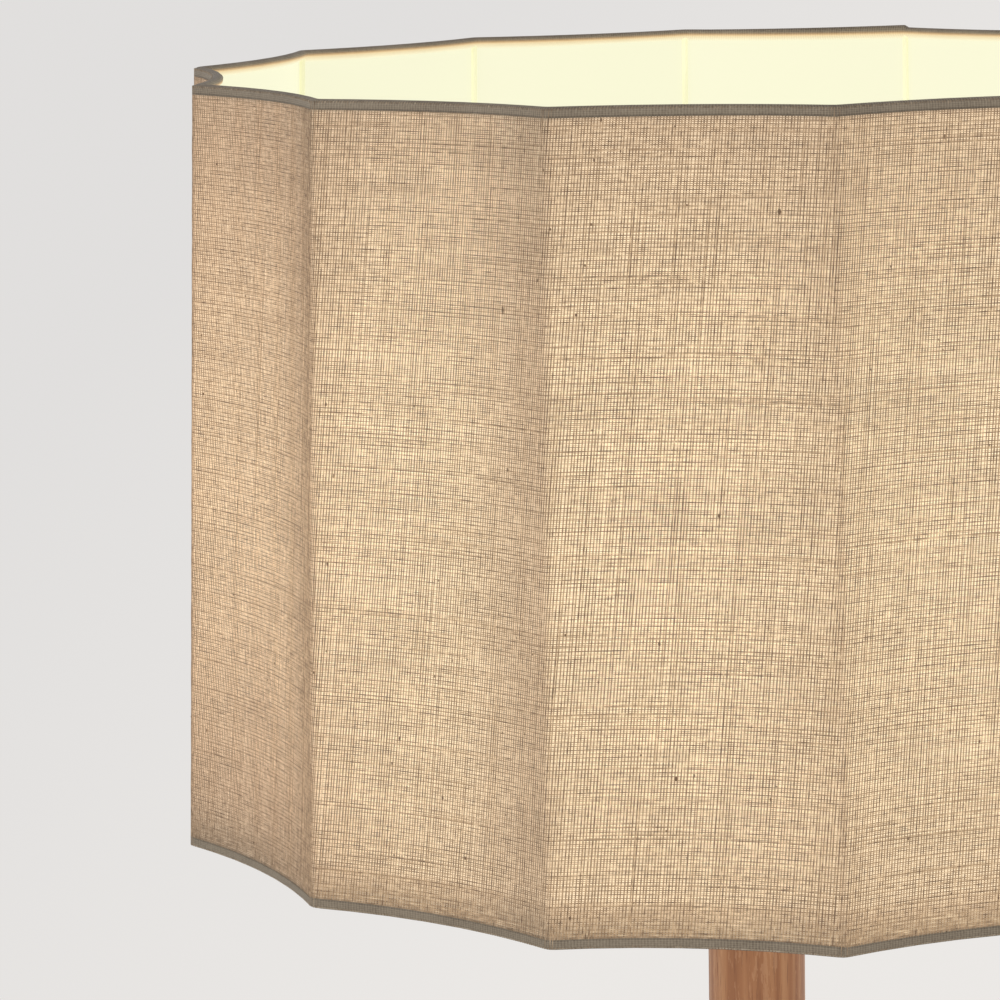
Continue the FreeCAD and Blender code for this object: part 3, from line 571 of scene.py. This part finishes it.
def make_hem(name, edge, inward, depth, material):
    """The cover's linen turned over a ring wire, with its lap where the strip of cloth ends."""
    outside, inside = hem_section(depth)
    section = np.concatenate([outside, inside])
    shape = (len(AROUND), len(section))
    along = np.broadcast_to(AROUND[:, None], shape)
    down = np.broadcast_to(section[:, 1][None, :], shape)
    flutter = smooth_noise(len(AROUND), 3)[0][:, None] * 0.12 * MM
    down = np.where(down > 0.9 * depth, down + flutter, down)
    past_lap = (along - LAP_CORNER) / LAP_LENGTH
    lap = np.where((past_lap >= 0) & (past_lap < 1), 1 - past_lap, 0) * LAP_THICKNESS
    lap = lap * np.clip(1 - down / (1.5 * MM), 0, 1)
    height = edge + inward * (down - lap) if inward < 0 else edge + inward * down
    points = shade_points(along, height, np.broadcast_to(section[:, 0][None, :], shape))
    run = np.cumsum(np.hypot(*np.diff(outside, axis=0, prepend=outside[:1]).T))
    run = np.concatenate([run, run[::-1]])
    warp_count = along * PANEL_WIDTH / WARP_PITCH
    weft_count = np.broadcast_to(run / WEFT_PITCH, shape)
    weave = np.stack([warp_count, weft_count, np.zeros(shape)], axis=-1)
    # Painted shade on the fold: 1 at its top, fading to 0 below it.
    fold = np.clip(1 - down / (1.2 * MM), 0, 1)
    order = np.arange(len(outside))
    past_fold = np.concatenate([order, order[::-1]]) > len(order) // 2
    # Painted light: past the fold, the cloth that faces the bulb glows.
    lit = np.where(past_fold, np.clip((down - 1.5 * MM) / (1.9 * MM), 0, 1), 0)
    faces = strip_faces(1, len(AROUND), len(section), closed_rows=True, closed_columns=True)
    if inward > 0:
        faces = faces[:, ::-1]
    return mesh_piece(name, points, faces, {"weave": weave, "edge": fold, "lit": lit}, [material])


def make_shade():
    """Cover, lining and hems."""
    linen = make_linen()
    make_lining()
    turned_linen = hem_material()
    edges = (("top_hem", SHADE_TOP, -1, TOP_HEM), ("bottom_hem", SHADE_BOTTOM, 1, BOTTOM_HEM))
    for node, edge, inward, depth in edges:
        piece = make_hem("turned_" + node, edge, inward, depth, turned_linen)
        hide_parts(node)


make_shade()

# ---------------------------------------------------------------- wood, metal and the rest

WOOD_DARK = (0.270, 0.100, 0.040)
WOOD_PLAIN = (0.375, 0.156, 0.066)
WOOD_LIGHT = (0.480, 0.232, 0.112)
WOOD_FLECK = (0.600, 0.330, 0.190)
WOOD_PORE = (0.170, 0.060, 0.025)
WIRE_LIT = (0.97, 1.0, 0.50, 1)
WIRE_GLOW = 0.38
# Turned profiles: radius and distance along the axis in mm, then the share of the ridges' depth.
THUMB_PROFILE = np.array([
    (0.0001, 10.5, 0), (3.05, 10.5, 0), (3.05, 0.0, 0), (7.6, 0.0, 0), (8.0, 0.4, 0), (8.0, 1.6, 0),
    (8.9, 2.2, 0), (9.0, 2.5, 1), (9.0, 10.6, 1), (8.8, 11.1, 0.4), (8.2, 11.7, 0), (6.5, 11.95, 0),
    (6.3, 11.7, 0), (0.0001, 11.8, 0),
]) * (MM, MM, 1)
DIAL_PROFILE = np.array([
    (0.0001, 7.0, 0), (2.0, 7.0, 0), (2.0, 0.0, 0), (7.1, 0.0, 0), (7.4, 0.3, 0.2), (7.5, 1.0, 1),
    (7.3, 10.2, 1), (6.9, 11.2, 0.6), (6.0, 11.8, 0), (4.6, 12.0, 0), (0.0001, 12.0, 0),
]) * (MM, MM, 1)
HALF_KNOB = 6 * MM


def grain_place(nodes, turn, across, along):
    """Object coordinates turned so that the grain runs along Z, then scaled across and along it."""
    turned = nodes.node("ShaderNodeMapping")
    nodes.put(turned.inputs["Vector"], nodes.node("ShaderNodeTexCoord").outputs["Object"])
    turned.inputs["Rotation"].default_value = turn
    scaled = nodes.node("ShaderNodeMapping")
    nodes.put(scaled.inputs["Vector"], turned.outputs[0])
    scaled.inputs["Scale"].default_value = (across, across, along)
    return scaled.outputs[0]


def wood_material(name, turn=(0, 0, 0), pith=(0.011, 0.047, 0)):
    """Oiled reddish hardwood: growth rings cut lengthwise, pale streaks, and fine dark pores along the
    grain. pith shifts the rings' centre."""
    nodes = Nodes(name)
    rings = nodes.node("ShaderNodeTexWave", wave_type="RINGS", rings_direction="Z")
    shifted = nodes.node("ShaderNodeVectorMath", operation="ADD")
    nodes.put(shifted.inputs[0], grain_place(nodes, turn, 1.0, 0.035))
    shifted.inputs[1].default_value = pith
    nodes.put(rings.inputs["Vector"], shifted.outputs[0])
    rings.inputs["Scale"].default_value = 62.0
    rings.inputs["Distortion"].default_value = 5.5
    rings.inputs["Detail"].default_value = 3.0
    rings.inputs["Detail Scale"].default_value = 1.6
    streak = nodes.noise(grain_place(nodes, turn, 1.0, 0.030), 190.0, 4.0, 0.6)
    pores = nodes.noise(grain_place(nodes, turn, 1.0, 0.045), 1500.0, 2.0, 0.5)
    blotch = nodes.noise(grain_place(nodes, turn, 1.0, 0.25), 28.0, 2.0)
    value = nodes.math("MULTIPLY", rings.outputs["Fac"], 0.26)
    value = nodes.math("ADD", value, nodes.math("MULTIPLY", streak, 0.55))
    value = nodes.math("ADD", value, nodes.math("MULTIPLY", blotch, 0.30))
    body = nodes.ramp(value, (0.30, WOOD_DARK), (0.52, WOOD_PLAIN), (0.78, WOOD_LIGHT))
    pore_mask = nodes.ramp(pores, (0.30, (1, 1, 1)), (0.42, (0, 0, 0)))
    colour = nodes.mix(nodes.math("MULTIPLY", pore_mask, 0.5), body, (*WOOD_PORE, 1))
    flecks = nodes.noise(grain_place(nodes, turn, 1.0, 0.13), 900.0, 3.0, 0.6)
    patches = nodes.noise(grain_place(nodes, turn, 1.0, 0.10), 110.0, 2.0)
    fleck_mask = nodes.ramp(nodes.math("ADD", flecks, nodes.math("MULTIPLY", patches, 0.8)),
                            (0.98, (0, 0, 0)), (1.0, (1, 1, 1)))
    colour = nodes.mix(nodes.math("MULTIPLY", fleck_mask, 0.32), colour, (*WOOD_FLECK, 1))
    rough = nodes.math("MULTIPLY_ADD", streak, 0.22, 0.36)
    nodes.bump(nodes.math("ADD", pores, nodes.math("MULTIPLY", streak, 0.5)), 0.08 * MM, 0.6)
    return nodes.set(Base_Color=colour, Roughness=rough, Coat_Weight=0.12, Coat_Roughness=0.35)


def plain_material(name, colour, spread, scale, rough, rough_spread, relief, stretch=(1, 1, 1), **more):
    """A colour and a roughness that both vary a little with noise, over a fine relief."""
    nodes = Nodes(name)
    broad = nodes.noise(nodes.object_place(stretch), scale * 0.08, 3.0)
    fine = nodes.noise(nodes.object_place(stretch), scale, 3.0)
    low = tuple(max(0.0, part * (1 - spread)) for part in colour)
    high = tuple(min(1.0, part * (1 + spread)) for part in colour)
    value = nodes.math("MULTIPLY_ADD", fine, 0.5, nodes.math("MULTIPLY", broad, 0.5))
    shade = nodes.ramp(value, (0.3, low), (0.7, high))
    roughness = nodes.math("MULTIPLY_ADD", broad, 2 * rough_spread, rough - rough_spread)
    nodes.bump(fine, relief, 0.5)
    return nodes.set(Base_Color=shade, Roughness=roughness, **more)


def bulb_material():
    """Opal glass with the light on: brightest at the middle of the globe, dimmer down the neck."""
    nodes = Nodes("bulb_glass")
    separate = nodes.node("ShaderNodeSeparateXYZ")
    nodes.put(separate.inputs[0], nodes.object_place())
    neck, crown = (corner[2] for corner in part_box("bulb_glass"))
    up = nodes.math("DIVIDE", nodes.math("SUBTRACT", separate.outputs[2], neck), crown - neck)
    haze = nodes.noise(nodes.object_place(), 60.0, 2.0)
    place = nodes.math("ADD", up, nodes.math("MULTIPLY_ADD", haze, 0.1, -0.05))
    lit = nodes.ramp(place, (0.0, (1.0, 0.55, 0.22)), (0.35, (1.0, 0.80, 0.50)), (0.7, (1.0, 0.90, 0.68)))
    strength = nodes.math("MULTIPLY_ADD", place, 2.2, 0.9)
    return nodes.set(Base_Color=(0.9, 0.88, 0.82, 1), Roughness=0.28,
                     Emission_Color=lit, Emission_Strength=strength)


def white_wire_material():
    """Powder coat, with the bulb's light on it painted as glow in the colour of the lining round it."""
    nodes = Nodes("white_wire")
    peel = nodes.noise(nodes.object_place(), 900.0, 3.0)
    broad = nodes.noise(nodes.object_place(), 35.0, 2.0)
    colour = nodes.ramp(broad, (0.3, (0.60, 0.58, 0.50)), (0.7, (0.66, 0.64, 0.56)))
    nodes.bump(peel, 0.05 * MM, 0.6)
    return nodes.set(Base_Color=colour, Roughness=0.45, Emission_Color=WIRE_LIT, Emission_Strength=WIRE_GLOW)


def middle(name):
    """The centre of a CAD node's box."""
    low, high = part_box(name)
    return (Vector(low) + Vector(high)) / 2


def leg_wood(name):
    """Wood whose grain runs from the leg's foot to its bolt, and whose rings differ from leg to leg."""
    axis = middle(name.replace("leg", "leg_bush")) - middle(name.replace("leg", "leg_foot"))
    turn = axis.normalized().rotation_difference(Vector((0, 0, 1))).to_euler()
    low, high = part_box(name)
    size = Vector(high) - Vector(low)
    return wood_material("wood_" + name, tuple(turn), pith=(0.013 + 0.01 * size.x, 0.034 + 0.01 * size.y, 0))


def make_finishes():
    """Each CAD node that stays gets its slot's material."""
    metal = {"Metallic": 1.0}
    finishes = {
        "white_wire": white_wire_material(),
        "bulb_glass": bulb_material(),
        "holder_plastic": plain_material("holder_plastic", (0.030, 0.027, 0.025), 0.25, 700, 0.28, 0.08,
                                         0.03 * MM),
        "ceramic": plain_material("ceramic", (0.80, 0.78, 0.74), 0.04, 300, 0.20, 0.05, 0.04 * MM),
        "plated_steel": plain_material("plated_steel", (0.66, 0.64, 0.60), 0.05, 900, 0.22, 0.08, 0.02 * MM,
                                       (1, 1, 0.1), **metal),
        "brass": plain_material("brass", (0.56, 0.40, 0.19), 0.10, 1100, 0.30, 0.10, 0.03 * MM, **metal),
        "steel": plain_material("steel", (0.50, 0.50, 0.50), 0.08, 1000, 0.38, 0.10, 0.03 * MM, **metal),
        "rubber": plain_material("rubber", (0.026, 0.025, 0.024), 0.30, 900, 0.78, 0.08, 0.10 * MM),
        "black_plastic": plain_material("black_plastic", (0.030, 0.030, 0.031), 0.20, 1300, 0.50, 0.08,
                                        0.06 * MM),
        "white_plastic": plain_material("white_plastic", (0.72, 0.71, 0.68), 0.05, 800, 0.42, 0.06,
                                        0.04 * MM),
        "lead": plain_material("lead", (0.13, 0.055, 0.025), 0.15, 900, 0.48, 0.08, 0.03 * MM),
    }
    for name, node in frame["nodes"].items():
        given = node.material_slots[0].material.name
        if given == "wood" and name.startswith("leg"):
            finish = leg_wood(name)
        elif given == "wood":
            finish = finishes.setdefault("wood_" + name, wood_material("wood_" + name))
        else:
            finish = finishes.get(given)
        if finish:
            node.material_slots[0].material = finish
    return finishes


def turned_knob(name, node, body, axis, profile, ridges, ridge_depth, material):
    """A turned piece with straight ridges, in the place of a CAD knob."""
    low, high = (np.array(corner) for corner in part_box(node))
    start = (low + high) / 2 - np.array(axis) * HALF_KNOB
    around = np.arange(ridges * 4) * 2 * math.pi / (ridges * 4)
    cut = ridge_depth * (0.5 - 0.5 * np.cos(around * ridges))
    radius = profile[:, 0][:, None] - profile[:, 2][:, None] * cut
    axis = Vector(axis).normalized()
    side = axis.cross(Vector((0, 0, 1))).normalized()
    other = axis.cross(side)
    points = (np.array(start) + profile[:, 1][:, None, None] * np.array(axis)
              + (radius * np.cos(around))[:, :, None] * np.array(side)
              + (radius * np.sin(around))[:, :, None] * np.array(other))
    faces = strip_faces(1, len(profile), len(around), closed_columns=True)
    piece = mesh_piece(name, points, faces, materials=[material], body=body)
    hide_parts(node)
    piece.data.set_sharp_from_angle(angle=math.radians(40))
    return piece


def make_knobs(finishes):
    """The three brass thumb knobs on the leg bolts, and the lampholder's switch knob."""
    axes = {joint["name"]: joint["axis"] for joint in frame["joints"]}
    for number in (1, 2, 3):
        piece = turned_knob(f"thumb_knob_{number}", f"leg_knob_{number}", f"knob_{number}",
                            axes[f"knob_{number}_turn"], THUMB_PROFILE, 40, 0.45 * MM, finishes["brass"])
    piece = turned_knob("fluted_switch_knob", "switch_knob", "switch", axes["switch_turn"], DIAL_PROFILE,
                        18, 0.7 * MM, finishes["holder_plastic"])


make_knobs(make_finishes())

# ---------------------------------------------------------------- studio

BACKGROUND_LOW = (0.752, 0.738, 0.728, 1)
BACKGROUND_HIGH = (0.835, 0.812, 0.788, 1)
FLOOR_RADIUS = 3.4
FLOOR_SIDES = 96
LENS_LENGTH = 141.42
CAMERA_PLACE = (0, -1.5388, 1.6544)
KEY_PLACE = (-1.5, -2.3, 2.3)
KEY_SIZE = 1.4
KEY_POWER = 15
KEY_COLOUR = (1.0, 0.98, 0.95)
BULB_RADIUS = 31 * MM
BULB_CENTRE_BELOW_TOP = 30 * MM
BULB_POWER = 0.18
BULB_COLOUR = (1.0, 0.80, 0.52)
TURNED_LEFT = math.radians(3.745)
TURNED_DOWN = math.radians(10.184)
ROLLED = math.radians(-1.121)


def make_world():
    """A soft pale surround, a little brighter and warmer on the right and low down."""
    world = bpy.data.worlds.new("studio")
    bpy.context.scene.world = world
    world.use_nodes = True
    background = next(node for node in world.node_tree.nodes if node.type == "BACKGROUND")
    direction = world.node_tree.nodes.new("ShaderNodeTexCoord")
    separate = world.node_tree.nodes.new("ShaderNodeSeparateXYZ")
    lower = world.node_tree.nodes.new("ShaderNodeMath")
    lower.operation = "SUBTRACT"
    ramp = world.node_tree.nodes.new("ShaderNodeMapRange")
    ramp.inputs["From Min"].default_value = -0.03
    ramp.inputs["From Max"].default_value = 0.25
    mix = world.node_tree.nodes.new("ShaderNodeMix")
    mix.data_type = "RGBA"
    mix.inputs["A"].default_value = BACKGROUND_LOW
    mix.inputs["B"].default_value = BACKGROUND_HIGH
    links = world.node_tree.links
    links.new(direction.outputs["Generated"], separate.inputs[0])
    links.new(separate.outputs[0], lower.inputs[0])
    links.new(separate.outputs[2], lower.inputs[1])
    links.new(lower.outputs[0], ramp.inputs["Value"])
    links.new(ramp.outputs[0], mix.inputs["Factor"])
    links.new(mix.outputs["Result"], background.inputs["Color"])
    background.inputs["Strength"].default_value = 1.0


def make_floor():
    angle = np.arange(FLOOR_SIDES) * 2 * math.pi / FLOOR_SIDES
    ring = np.stack([np.cos(angle), np.sin(angle), np.zeros(FLOOR_SIDES)], axis=-1) * FLOOR_RADIUS
    mesh = bpy.data.meshes.new("floor")
    mesh.from_pydata(ring.tolist(), [], [list(range(FLOOR_SIDES))])
    nodes = Nodes("floor")
    speckle = nodes.noise(nodes.object_place(), 3.0, 2.0)
    colour = nodes.ramp(speckle, (0.3, (0.715, 0.70, 0.675)), (0.7, (0.73, 0.715, 0.69)))
    mesh.materials.append(nodes.set(Base_Color=colour, Roughness=0.9))
    floor = bpy.data.objects.new("floor", mesh)
    bpy.context.scene.collection.objects.link(floor)


def area_light(name, place, target, size, energy, colour=(1, 1, 1)):
    light = bpy.data.lights.new(name, "AREA")
    light.shape = "DISK"
    light.size = size
    light.energy = energy
    light.color = colour
    lamp = bpy.data.objects.new(name, light)
    lamp.location = place
    lamp.rotation_euler = (Vector(target) - Vector(place)).to_track_quat("-Z", "Y").to_euler()
    bpy.context.scene.collection.objects.link(lamp)


def make_lights():
    centre = (0, 0, (SHADE_TOP + SHADE_BOTTOM) / 2)
    area_light("key", KEY_PLACE, centre, KEY_SIZE, KEY_POWER, KEY_COLOUR)
    bulb = bpy.data.lights.new("bulb", "POINT")
    bulb.shadow_soft_size = BULB_RADIUS
    bulb.energy = BULB_POWER
    bulb.color = BULB_COLOUR
    glow = bpy.data.objects.new("bulb", bulb)
    bulb_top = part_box("bulb_glass")[1][2]
    glow.location = (0, 0, bulb_top - BULB_CENTRE_BELOW_TOP)
    bpy.context.scene.collection.objects.link(glow)


def make_camera():
    """The view of the shade: a long lens a little above the rim, turned left and down, slightly rolled."""
    sight = Vector((
        -math.sin(TURNED_LEFT) * math.cos(TURNED_DOWN),
        math.cos(TURNED_LEFT) * math.cos(TURNED_DOWN),
        -math.sin(TURNED_DOWN),
    ))
    right = Vector((math.cos(TURNED_LEFT), math.sin(TURNED_LEFT), 0))
    up = right.cross(sight)
    right, up = (
        right * math.cos(ROLLED) + up * math.sin(ROLLED),
        up * math.cos(ROLLED) - right * math.sin(ROLLED),
    )
    lens = bpy.data.cameras.new("camera")
    lens.sensor_width = 36
    lens.lens = LENS_LENGTH
    lens.clip_end = 50
    camera = bpy.data.objects.new("camera", lens)
    turn = Matrix((right, up, -sight)).transposed().to_4x4()
    camera.matrix_world = Matrix.Translation(CAMERA_PLACE) @ turn
    bpy.context.scene.collection.objects.link(camera)
    bpy.context.scene.camera = camera


make_world()
make_floor()
make_lights()
make_camera()
bpy.context.scene.view_settings.view_transform = "Standard"
